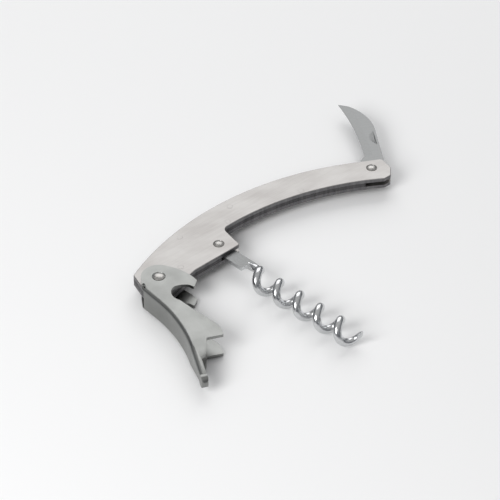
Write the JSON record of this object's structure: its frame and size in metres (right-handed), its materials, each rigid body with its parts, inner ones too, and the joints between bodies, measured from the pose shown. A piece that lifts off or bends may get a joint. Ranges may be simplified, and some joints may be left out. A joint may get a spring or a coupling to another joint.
{
  "type": "waiters corkscrew",
  "caption": "Folding waiter's corkscrew in stainless steel: curved handle, round-wire worm, folded channel lever with claws and cap notch, and a hooked foil blade.",
  "frame": {"origin": "centre of the bottom of the bounding box of the whole object, lying on its side plates with the lever, the worm and the blade opened as they are stored here", "axes": "+X along the handle from the lever pivot to the blade pivot, +Y from the worm's side to the handle's convex back, +Z normal to the side plates and up"},
  "size_m": [0.1423, 0.105, 0.0113],
  "materials": {
    "scale_steel": "stainless steel plate, brushed along the handle",
    "core_steel": "stainless steel spring strip and spacer, ground edges",
    "lever_steel": "stainless steel sheet, tumbled to a satin",
    "worm_steel": "stainless steel wire, polished",
    "blade_steel": "hardened stainless steel, satin ground",
    "rivet_steel": "stainless steel rivets, polished domes"
  },
  "bodies": {
    "handle": {"front_scale": "scale_steel", "rear_scale": "scale_steel", "lever_end_spacer": "core_steel", "backspring": "core_steel", "flush_pins": "scale_steel", "worm_rivet": "rivet_steel", "blade_rivet": "rivet_steel"},
    "lever_axle": {"lever_rivet": "rivet_steel", "lever_washer_front": "core_steel", "lever_washer_rear": "core_steel"},
    "lever": {"lever": "lever_steel"},
    "worm": {"worm": "worm_steel"},
    "foil_blade": {"foil_blade": "blade_steel"}
  },
  "joints": [
    {"name": "worm_fold", "type": "hinge", "parent": "handle", "child": "worm", "pos_m": [-0.0216, 0.0156, 0.00565], "axis": [0, 0, 1], "range_deg": [0, 74]},
    {"name": "lever_carrier", "type": "hinge", "parent": "handle", "child": "lever_axle", "pos_m": [-0.0511, 0.0128, 0.00565], "axis": [0, 0, 1], "range_deg": [0, 58]},
    {"name": "lever_swing", "type": "hinge", "parent": "lever_axle", "child": "lever", "pos_m": [-0.0511, 0.0128, 0.00565], "axis": [0, 0, 1], "range_deg": [-45, 42]},
    {"name": "blade_fold", "type": "hinge", "parent": "handle", "child": "foil_blade", "pos_m": [0.05, 0.0131, 0.00565], "axis": [0, 0, 1], "range_deg": [-80, 96]}
  ],
  "couplings": [
    {"joint": "lever_carrier", "follows": "worm_fold", "ratio": 0.78}
  ]
}
